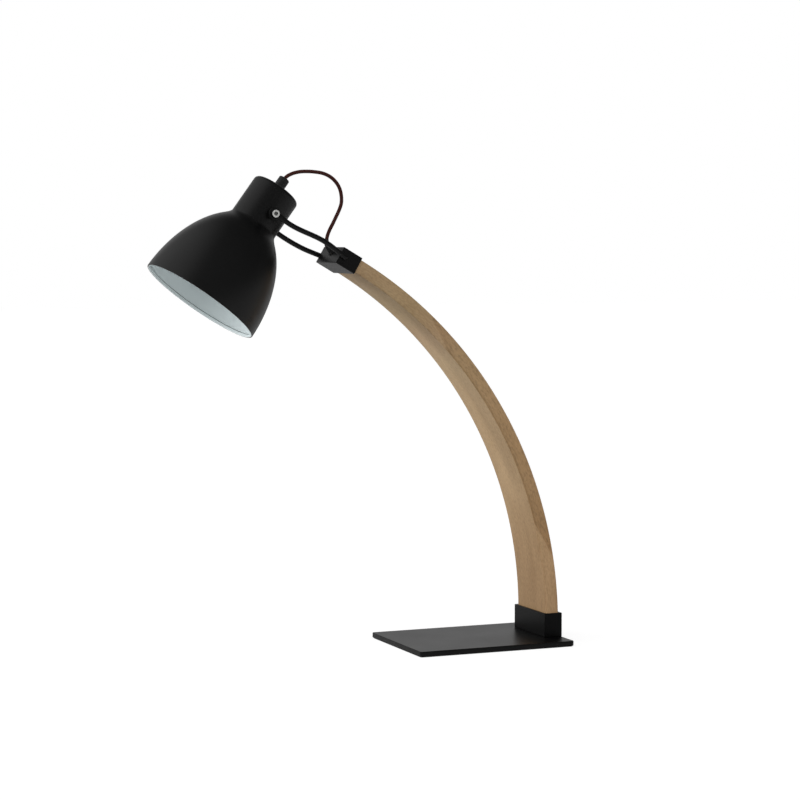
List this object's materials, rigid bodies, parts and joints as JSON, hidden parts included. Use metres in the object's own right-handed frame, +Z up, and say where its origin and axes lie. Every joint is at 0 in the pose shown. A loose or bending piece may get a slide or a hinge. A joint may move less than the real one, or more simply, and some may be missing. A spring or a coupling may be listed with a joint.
{
  "type": "table lamp",
  "caption": "Table lamp with a bent wooden arm on a flat steel base and a tilting bell shade held between two rods.",
  "frame": {"origin": "centre of the base's underside, on the table", "axes": "+Z up, +X from the shade towards the arm's foot, +Y across the arm, away from the side that the picture shows"},
  "size_m": [0.4712, 0.142, 0.5306],
  "materials": {
    "coated_steel": "satin black powder coat",
    "pad_rubber": "matt foam sheet",
    "zinc_steel": "zinc plated",
    "black_steel": "black",
    "arm_wood": "clear satin lacquer, fine straight grain",
    "strip_wood": "clear satin lacquer, fine straight grain",
    "cord_fabric": "braided",
    "black_rubber": "matt",
    "shade_coat": "satin black outside, white inside",
    "bright_steel": "bright plated",
    "black_plastic": "matt",
    "ceramic": "glazed",
    "brass": "plain",
    "opal_glass": "opal white",
    "base_metal": "satin"
  },
  "bodies": {
    "stand": {"base_plate": "coated_steel", "base_pad": "pad_rubber", "base_screws": "zinc_steel", "arm_socket": "coated_steel", "arm_screws": "black_steel", "wood_arm": "arm_wood", "groove_strip": "strip_wood", "arm_cable": "cord_fabric", "inlet_bush": "black_rubber", "end_cap": "coated_steel", "cap_screws": "black_steel", "cap_grommet": "black_rubber", "near_rod": "black_steel", "far_rod": "black_steel", "rod_clips": "zinc_steel"},
    "head": {"shade": "shade_coat", "neck_cup": "coated_steel", "pivot_spacers": "black_steel", "pivot_washers": "black_steel", "pivot_screws": "bright_steel", "pivot_nuts": "zinc_steel", "cord_grip": "black_plastic", "grip_screw": "black_steel", "lock_nut": "zinc_steel", "holder_cap": "black_plastic", "contact_block": "ceramic", "lamp_contacts": "brass", "holder_shell": "black_plastic", "holder_leads": "cord_fabric", "bulb_glass": "opal_glass", "bulb_base": "base_metal", "bulb_contact": "brass", "head_cord": "cord_fabric"}
  },
  "joints": [
    {"name": "shade_tilt", "type": "hinge", "parent": "stand", "child": "head", "pos_m": [-0.24773, 0, 0.48247], "axis": [0, 1, 0], "range_deg": [-40, 55], "deforming": ["head_cord"]}
  ]
}
